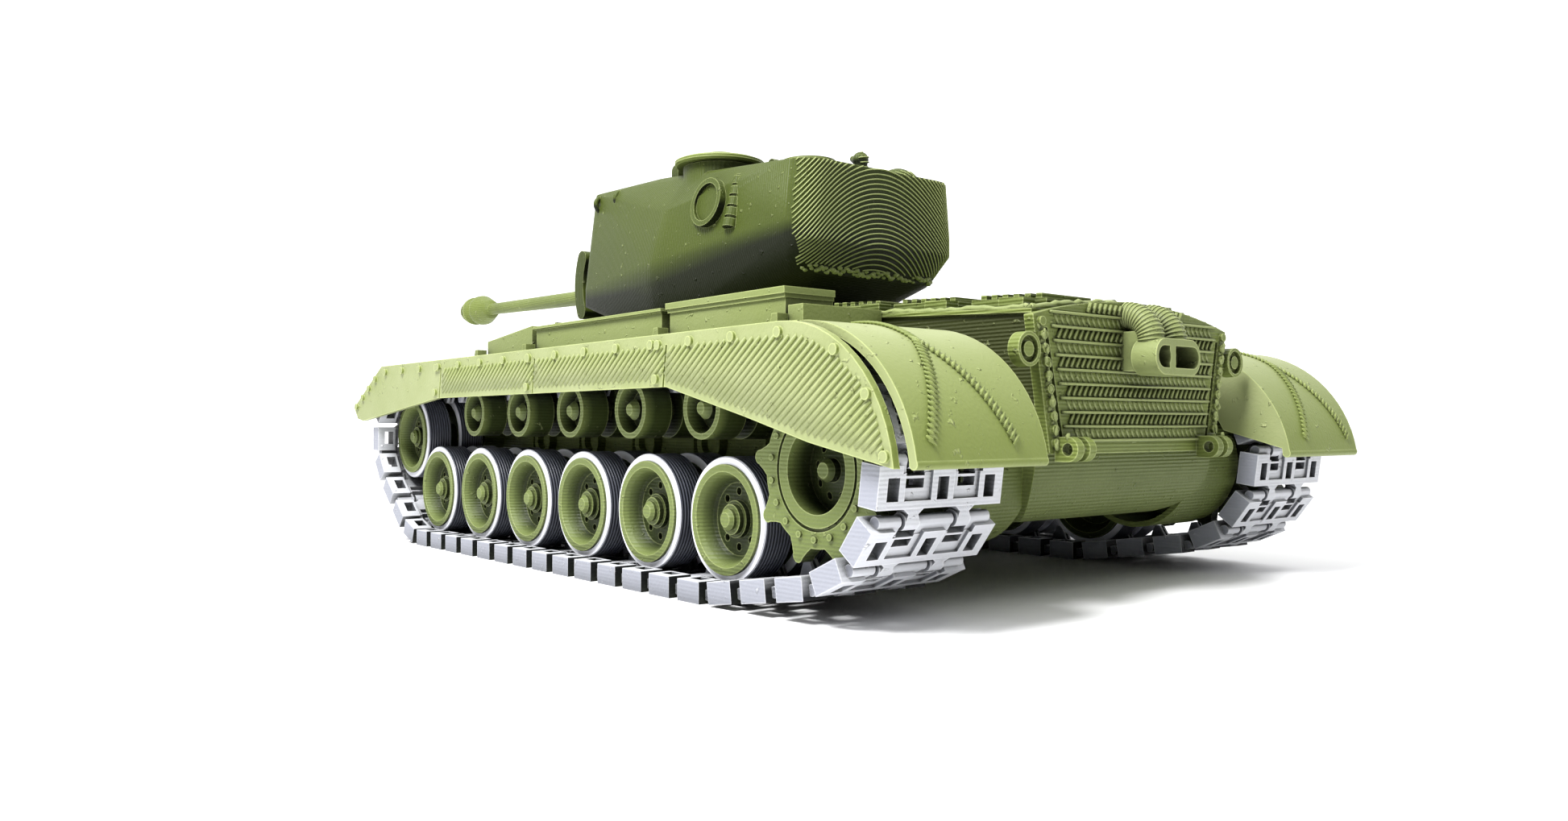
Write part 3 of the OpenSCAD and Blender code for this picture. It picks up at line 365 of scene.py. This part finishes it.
# painted shade: side faces of the links take the darker grey ends colour, and end faces of links in the
# ground run the near-black ground_shade colour
silver = printed_plastic("silver_print", SILVER, (0.92, 0.92, 0.94, 1), (0.42, 0.43, 0.46, 1),
                         [(*layers, 0.02 * MM, 0.05)], 0.5, (0.27, 0.28, 0.32, 1), hollow=0.9,
                         ground_shade=(0.015, 0.015, 0.02, 1))
metal = printed_plastic("motor_can", (0.5, 0.5, 0.52, 1), (0.8, 0.8, 0.8, 1), (0.3, 0.3, 0.3, 1))
wrap = printed_plastic("battery_wrap", (0.02, 0.02, 0.025, 1), (0.1, 0.1, 0.1, 1),
                       (0.01, 0.01, 0.01, 1))
board = printed_plastic("board_green", (0.01, 0.08, 0.03, 1), (0.1, 0.3, 0.15, 1),
                        (0.005, 0.03, 0.01, 1))
tyre = tyre_plastic()

FINISH = {"olive_plastic": olive, "shaded_plastic": shaded, "tyre_ring": tyre, "track_links": silver,
          "motor_metal": metal, "battery_wrap": wrap, "circuit_board": board}
SPECIAL = {"upper_hull": hull_olive, "fender": lit_skirt_olive, "turret_shell": shaded_turret_olive,
           "wheel": shaded_wheel_olive, "roller": shaded_wheel_olive, "stowage": lit_pale_olive,
           "sprocket": shaded_wheel_olive, "gun_mantlet": shaded_turret_olive, "muffler": lit_pale_olive}


def dress_nodes():
    """A material and a slot for every CAD node, and smooth shading on the cast shapes."""
    slots = {row["node"]: row["material_slot"] for row in frame["record"]["subparts"]}
    for name, node in frame["nodes"].items():
        material = FINISH[slots[name]]
        for word, special in SPECIAL.items():
            if word in name:
                material = special
        node.data.materials.clear()
        node.data.materials.append(material)
    smooth = smooth_by_angle(38)
    for name in ("turret_shell", "gun_mantlet", "gun_barrel"):
        frame["nodes"][name].modifiers.new("smooth", "NODES").node_group = smooth


def smooth_by_angle(degrees):
    """Shades a mesh smoothly, except across edges sharper than an angle."""
    group = bpy.data.node_groups.new("smooth_by_angle", "GeometryNodeTree")
    for direction in ("INPUT", "OUTPUT"):
        group.interface.new_socket("Geometry", in_out=direction, socket_type="NodeSocketGeometry")
    start, end = group.nodes.new("NodeGroupInput"), group.nodes.new("NodeGroupOutput")
    weld = group.nodes.new("GeometryNodeMergeByDistance")
    weld.inputs["Distance"].default_value = 0.001 * MM
    faces = group.nodes.new("GeometryNodeSetShadeSmooth")
    faces.domain = "FACE"
    edges = group.nodes.new("GeometryNodeSetShadeSmooth")
    edges.domain = "EDGE"
    edges.inputs["Shade Smooth"].default_value = False
    bend = group.nodes.new("GeometryNodeInputMeshEdgeAngle")
    sharp = group.nodes.new("FunctionNodeCompare")
    sharp.operation = "GREATER_THAN"
    sharp.inputs[1].default_value = math.radians(degrees)
    for source, target in ((start.outputs[0], weld.inputs["Geometry"]),
                           (weld.outputs[0], faces.inputs[0]),
                           (faces.outputs[0], edges.inputs[0]), (edges.outputs[0], end.inputs[0]),
                           (bend.outputs["Unsigned Angle"], sharp.inputs[0]),
                           (sharp.outputs[0], edges.inputs["Selection"])):
        group.links.new(source, target)
    return group


# ---------- mesh tools ----------

class Store:
    """Vertices and faces of one piece, gathered from many small closed solids."""

    def __init__(self):
        self.verts = []
        self.faces = []

    def add(self, verts, faces):
        start = len(self.verts)
        self.verts += [tuple(v) for v in verts]
        self.faces += [tuple(start + i for i in face) for face in faces]

    def loft(self, verts, rings, sides):
        """A closed solid from rings of points, with a flat cap at each end."""
        faces = [tuple(reversed(range(sides))), tuple((rings - 1) * sides + k for k in range(sides))]
        for i in range(rings - 1):
            for k in range(sides):
                a = i * sides + k
                b = i * sides + (k + 1) % sides
                faces.append((a, b, b + sides, a + sides))
        self.add(verts, faces)

    def bead(self, path, normals, width, height, sink=0.06 * MM):
        """A half-round bead that follows a path on a surface."""
        if len(path) < 2:
            return
        profile = [(-0.5, 0), (-0.32, 0.75), (0, 1), (0.32, 0.75), (0.5, 0)]
        rings = len(path)
        verts = []
        for i, (point, up) in enumerate(zip(path, normals)):
            ahead = path[min(i + 1, rings - 1)] - path[max(i - 1, 0)]
            side = up.cross(ahead).normalized()
            for across, rise in profile:
                lift = rise * height if rise else -sink
                verts.append(point + side * across * width + up * lift)
        self.loft(verts, rings, len(profile))

    def tube(self, path, radii, sides=8):
        """A round tube along a path, with a radius at each point and closed ends."""
        rings = len(path)
        verts = []
        side = Vector((0, 0, 1))
        for i, (point, radius) in enumerate(zip(path, radii)):
            ahead = (path[min(i + 1, rings - 1)] - path[max(i - 1, 0)]).normalized()
            side = side - ahead * side.dot(ahead)
            if side.length < 1e-4:
                side = ahead.orthogonal()
            side.normalize()
            other = ahead.cross(side)
            for k in range(sides):
                turn = 2 * math.pi * k / sides
                verts.append(point + (side * math.cos(turn) + other * math.sin(turn)) * radius)
        self.loft(verts, rings, sides)

    def blob(self, at, radius, dice, squash=(1, 1, 1)):
        """A lump of plastic: a low sphere with its points pushed about."""
        rings, sides = 5, 8
        verts = [at + Vector((0, 0, radius * squash[2]))]
        for i in range(1, rings):
            tilt = math.pi * i / rings
            for k in range(sides):
                turn = 2 * math.pi * k / sides
                out = Vector((math.sin(tilt) * math.cos(turn) * squash[0],
                              math.sin(tilt) * math.sin(turn) * squash[1], math.cos(tilt) * squash[2]))
                verts.append(at + out * radius * dice.uniform(0.8, 1.15))
        verts.append(at - Vector((0, 0, radius * squash[2])))
        last = len(verts) - 1
        faces = [(0, 1 + k, 1 + (k + 1) % sides) for k in range(sides)]
        for i in range(rings - 2):
            for k in range(sides):
                a = 1 + i * sides + k
                b = 1 + i * sides + (k + 1) % sides
                faces.append((a, a + sides, b + sides, b))
        base = 1 + (rings - 2) * sides
        faces += [(base + k, last, base + (k + 1) % sides) for k in range(sides)]
        self.add(verts, faces)

    def piece(self, name, body, material):
        """Makes the stored solids one object that rides on a body."""
        mesh = bpy.data.meshes.new(name)
        mesh.from_pydata(self.verts, [], self.faces)
        mesh.polygons.foreach_set("use_smooth", [True] * len(mesh.polygons))
        mesh.materials.append(material)
        mesh.update()
        obj = bpy.data.objects.new(name, mesh)
        bpy.context.scene.collection.objects.link(obj)
        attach(obj, body)
        return obj


def tree_of(*names):
    """A search tree over the shapes of CAD nodes."""
    verts, faces = [], []
    for name in names:
        mesh = frame["nodes"][name].data
        start = len(verts)
        verts += [v.co.copy() for v in mesh.vertices]
        faces += [[start + i for i in p.vertices] for p in mesh.polygons]
    return BVHTree.FromPolygons(verts, faces)


def hit(tree, start, direction):
    """The first point that a ray meets and the normal there, turned towards the ray's start."""
    point, normal, _, _ = tree.ray_cast(start, Vector(direction).normalized())
    if point is None:
        return None
    if normal.dot(Vector(direction)) > 0:
        normal = -normal
    return point, normal


# ---------- printed detail ----------

def runs_on(tree, start, step, count, look, test):
    """Splits a straight walk over a surface into the stretches whose hits pass a test."""
    runs, run = [], []
    for i in range(count + 1):
        found = hit(tree, start + step * i, look)
        if found and test(*found):
            run.append(found)
        elif run:
            runs.append(run)
            run = []
    if run:
        runs.append(run)
    return [r for r in runs if len(r) > 2]


def skirt_strokes(side):
    """Slanting infill strokes on a side skirt, behind its first seam."""
    sign = 1 if side == "left" else -1
    tree = tree_of(side + "_fender")
    lowest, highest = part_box(side + "_fender")
    bolt_height = 0.39 * MM
    face_x = (highest.x if sign > 0 else -lowest.x) - bolt_height
    slant = math.radians(36.5)
    pitch = 1.18 * MM
    step = Vector((0, math.cos(slant), math.sin(slant))) * 0.3 * MM
    margin = 0.75 * MM
    start_x = sign * (face_x + 2 * MM)
    look = Vector((-sign, 0, 0))
    store = Store()

    def clear(point):
        """True on the flat of the skirt, away from its bolts, seams and edges."""
        if abs(point.x * sign - face_x) > 0.02 * MM:
            return False
        for dy, dz in ((0, margin * 1.8), (0, -margin), (margin, 0), (-margin, 0)):
            near = tree.ray_cast(Vector((start_x, point.y + dy, point.z + dz)), look)[0]
            if near is None or abs(near.x * sign - face_x) > 0.5 * MM:
                return False
        return True

    rise = highest.z - lowest.z
    first = lowest.y + 40 * MM
    y = first - rise / math.tan(slant)
    while y < highest.y:
        start = Vector((start_x, y, lowest.z))
        count = int(rise / math.sin(slant) / step.length)
        for run in runs_on(tree, start, step, count, look, lambda p, n: p.y > first and clear(p)):
            ends = [run[0][0], run[-1][0]]
            store.bead(ends, [Vector((sign, 0, 0))] * 2, 0.56 * MM, 0.2 * MM)
        y += pitch
    store.piece(side + "_skirt_strokes", "hull", lit_skirt_olive)


def turret_arcs():
    """Contour steps of the print on the rear face of the turret."""
    tree = tree_of("turret_shell")
    lowest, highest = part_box("turret_shell")
    store = Store()
    pitch, stride, half_count = 0.7 * MM, 0.25 * MM, 64
    curl = 45
    sill = lowest.z + 6.4 * MM
    rear_face = highest.y - 5.5 * MM
    level = lowest.z + 6 * MM
    while level < highest.z + 10 * MM:
        path, normals = [], []
        for i in range(-half_count, half_count + 1):
            x = i * stride
            z = level - curl * x * x
            found = hit(tree, Vector((x, highest.y + 10 * MM, z)), (0, -1, 0))
            good = found and found[0].y > rear_face and z > sill
            if good and found[1].y > 0.45 and found[1].z < 0.8:
                path.append(found[0])
                normals.append(found[1])
            elif path:
                store.bead(path, normals, 0.26 * MM, 0.17 * MM)
                path, normals = [], []
        store.bead(path, normals, 0.26 * MM, 0.17 * MM)
        level += pitch
    store.piece("turret_contours", "turret", lit_pale_olive)


def turret_sill():
    """Rough drips along the lower rear edge of the turret."""
    tree = tree_of("turret_shell")
    lowest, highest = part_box("turret_shell")
    dice = random.Random(5)
    store = Store()
    count, half = 70, 12.5
    for i in range(count):
        x = (-half + i * 2 * half / (count - 1)) * MM
        z = lowest.z + (6.0 + dice.uniform(-0.35, 0.45)) * MM
        found = hit(tree, Vector((x, highest.y + 10 * MM, z)), (0, -1, 0))
        if found:
            store.blob(found[0], dice.uniform(0.28, 0.5) * MM, dice, (1.3, 0.7, 0.8))
    store.piece("turret_sill", "turret", lit_pale_olive)


def plate_weave():
    """Horizontal steps and slanting strokes over the rear plate."""
    tree = tree_of("rear_plate")
    lowest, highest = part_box("rear_plate")
    middle = (lowest.z + highest.z) / 2
    face = hit(tree, Vector((9 * MM, highest.y + 10 * MM, middle)), (0, -1, 0))[0]
    rows, steps = 10, 40
    stroke_pitch = 0.93 * MM
    foot = lowest.z + 2.2 * MM
    pitch = 1.5 * MM
    store = Store()
    up = Vector((0, 1, 0))

    def on_plate(x, z):
        found = hit(tree, Vector((x, highest.y + 10 * MM, z)), (0, -1, 0))
        return found and abs(found[0].y - face.y) < 0.02 * MM

    for row in range(rows):
        z = foot + row * pitch
        half = (13.55 + 0.28 * row) * MM
        path = [Vector((-half + 2 * half * i / steps, face.y, z)) for i in range(steps + 1)]
        good = [p for p in path if on_plate(p.x, p.z)]
        store.bead(good, [up] * len(good), 0.4 * MM, 0.42 * MM)
        lean, height = (0.5, 0.34) if row % 2 else (-0.5, 0.12)
        for i in range(int(2 * half / stroke_pitch)):
            x = -half + (i + 0.7) * stroke_pitch
            a = Vector((x, face.y, z + 0.3 * MM))
            b = a + Vector((-lean * pitch * 0.8, 0, pitch * 0.68))
            if on_plate(a.x, a.z) and on_plate(b.x, b.z) and abs(b.x) < half:
                store.bead([a, b], [up, up], 0.4 * MM, height * MM)
    store.piece("plate_weave", "hull", lit_pale_olive)


def fender_ribs(side):
    """Two raised ribs that part on the curved rear fender, with their common stem on top."""
    sign = 1 if side == "left" else -1
    tree = tree_of(side + "_fender")
    lowest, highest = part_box(side + "_fender")
    reach = 15.8 * MM
    axis = Vector((0, highest.y - reach, highest.z - reach))
    stem_x = 33.8 * MM
    store = Store()

    def point(x, degrees):
        """The point of the curved sheet at a turn about its axis, and the way out of it."""
        turn = math.radians(degrees)
        out = Vector((0, math.cos(turn), math.sin(turn)))
        found = hit(tree, Vector((sign * x, 0, 0)) + axis + out * (reach + 4 * MM), -out)
        return (found[0], out) if found else None

    def rib(places, width, height):
        found = [point(*place) for place in places]
        found = [f for f in found if f]
        store.bead([f[0] for f in found], [f[1] for f in found], width, height)

    def rope(places, lean):
        """A low rib with slanted strands across it."""
        rib(places, 0.7 * MM, 0.22 * MM)
        for x, degrees in places[::2]:
            strand = [point(x - lean * 0.5 * MM, degrees - 1.2), point(x, degrees + 0.4),
                      point(x + lean * 0.5 * MM, degrees + 2)]
            if all(strand):
                raised = [f[0] + f[1] * 0.18 * MM for f in strand]
                store.tube(raised, [0.12 * MM, 0.2 * MM, 0.12 * MM], 6)

    foot, fork, crest = 15, 59, 90
    for spread in (1, -1):
        rope([(stem_x + spread * 0.13 * MM * (fork - a), a) for a in range(foot, fork + 1)], spread)
    rope([(stem_x, a) for a in range(fork - 1, crest + 1)], 1)
    forward = [hit(tree, Vector((sign * stem_x, axis.y - i * MM, highest.z + 5 * MM)), (0, 0, -1))
               for i in range(14)]
    store.bead([f[0] for f in forward], [f[1] for f in forward], 0.7 * MM, 0.15 * MM)
    store.piece(side + "_fender_ribs", "hull", rope_olive)


def deck_edges():
    """Lumpy beads of plastic along the two sides and the rear edge of the engine deck."""
    tree = tree_of("engine_deck")
    lowest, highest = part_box("engine_deck")
    dice = random.Random(11)
    store = Store()
    inset = 0.45 * MM

    def bead(start, end):
        count = int((end - start).length / (0.8 * MM))
        found = [hit(tree, start + (end - start) * i / count, (0, 0, -1)) for i in range(count + 1)]
        points = [f[0] + Vector((0, 0, dice.uniform(-0.1, 0.12))) * MM for f in found if f]
        store.tube(points, [dice.uniform(0.3, 0.46) * MM for _ in points], 8)

    top = highest.z + 5 * MM
    front, rear = lowest.y + inset, highest.y - inset
    sides = (lowest.x + inset, highest.x - inset)
    for x in sides:
        bead(Vector((x, front, top)), Vector((x, rear, top)))
    bead(Vector((sides[0], rear, top)), Vector((sides[1], rear, top)))
    store.piece("deck_edges", "hull", lit_pale_olive)


def plate_edge_lumps():
    """Lumps of plastic that join the bolts down both edges of the rear plate."""
    tree = tree_of("rear_plate")
    lowest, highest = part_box("rear_plate")
    dice = random.Random(23)
    store = Store()
    foot = 16.4 * MM
    lean = 0.19
    for sign in (1, -1):
        for i in range(26):
            z = foot + (0.8 + i * 0.5) * MM
            x = sign * (15 * MM + lean * (z - foot) + dice.uniform(-0.3, 0.3) * MM)
            found = hit(tree, Vector((x, highest.y + 5 * MM, z)), (0, -1, 0))
            if found:
                store.blob(found[0], dice.uniform(0.22, 0.42) * MM, dice, (0.8, 0.7, 1.1))
    store.piece("plate_edge_lumps", "hull", lit_pale_olive)


def exhaust_rings():
    """Layer rings round the two bent exhaust pipes."""
    lowest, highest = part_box("exhaust_muffler")
    bend = 3.1 * MM
    pipe_r = 1.4 * MM
    ring_r = pipe_r + 0.02 * MM
    points = 24
    across = Vector((1, 0, 0))
    corner = Vector((0, lowest.y, highest.z - bend - pipe_r))
    store = Store()
    for x in (-2.2 * MM, 2.2 * MM):
        for i in range(13):
            turn = math.radians(4 + i * 7)
            out = Vector((0, math.cos(turn), math.sin(turn)))
            middle = corner + across * x + out * bend
            angles = [2 * math.pi * k / points for k in range(points + 1)]
            ring = [middle + (out * math.cos(a) + across * math.sin(a)) * ring_r for a in angles]
            store.tube(ring, [0.13 * MM] * len(ring), 6)
    store.piece("exhaust_rings", "hull", lit_pale_olive)


set_camera()
set_floor()
set_light()
dress_nodes()
for side in ("left", "right"):
    skirt_strokes(side)
    fender_ribs(side)
turret_arcs()
turret_sill()
plate_weave()
plate_edge_lumps()
exhaust_rings()
deck_edges()
